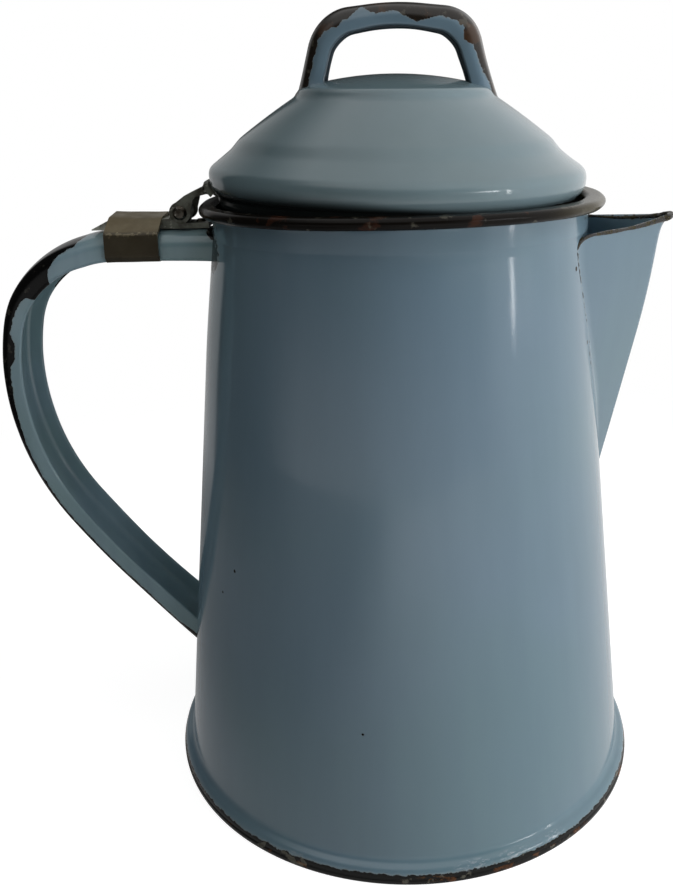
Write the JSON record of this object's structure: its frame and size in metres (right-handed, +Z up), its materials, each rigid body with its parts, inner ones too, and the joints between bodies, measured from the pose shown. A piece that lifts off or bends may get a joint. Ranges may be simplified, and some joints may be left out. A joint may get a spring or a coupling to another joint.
{
  "type": "coffee pot",
  "caption": "Enamelled steel coffee pot with a hinged domed lid, a folded open spout with a strainer behind it and a bent strap handle.",
  "frame": {"origin": "middle of the foot's underside, on the surface the pot stands on", "axes": "+Z up, +X from the pot's axis to the spout, -X to the handle, +Y to the far side as pictured"},
  "size_m": [0.1752, 0.132, 0.2008],
  "materials": {
    "body_enamel": "gloss enamel",
    "lid_enamel": "gloss enamel",
    "aged_metal": "worn brown",
    "plain_steel": "dull"
  },
  "bodies": {
    "pot": {"body_shell": "body_enamel", "rim_wire": "plain_steel", "base_pan": "body_enamel", "spout_shell": "body_enamel", "handle_strap": "body_enamel", "sleeve_band": "aged_metal", "hinge_strap": "aged_metal", "hinge_pin": "plain_steel", "base_rivet": "plain_steel"},
    "lid": {"lid_shell": "lid_enamel", "lid_collar": "lid_enamel", "lid_knob": "lid_enamel", "hinge_arm": "aged_metal", "arm_rivets": "plain_steel"}
  },
  "joints": [
    {"name": "lid_hinge", "type": "hinge", "parent": "pot", "child": "lid", "pos_m": [-0.054, 0, 0.1544], "axis": [0, -1, 0], "range_deg": [0, 110]}
  ]
}
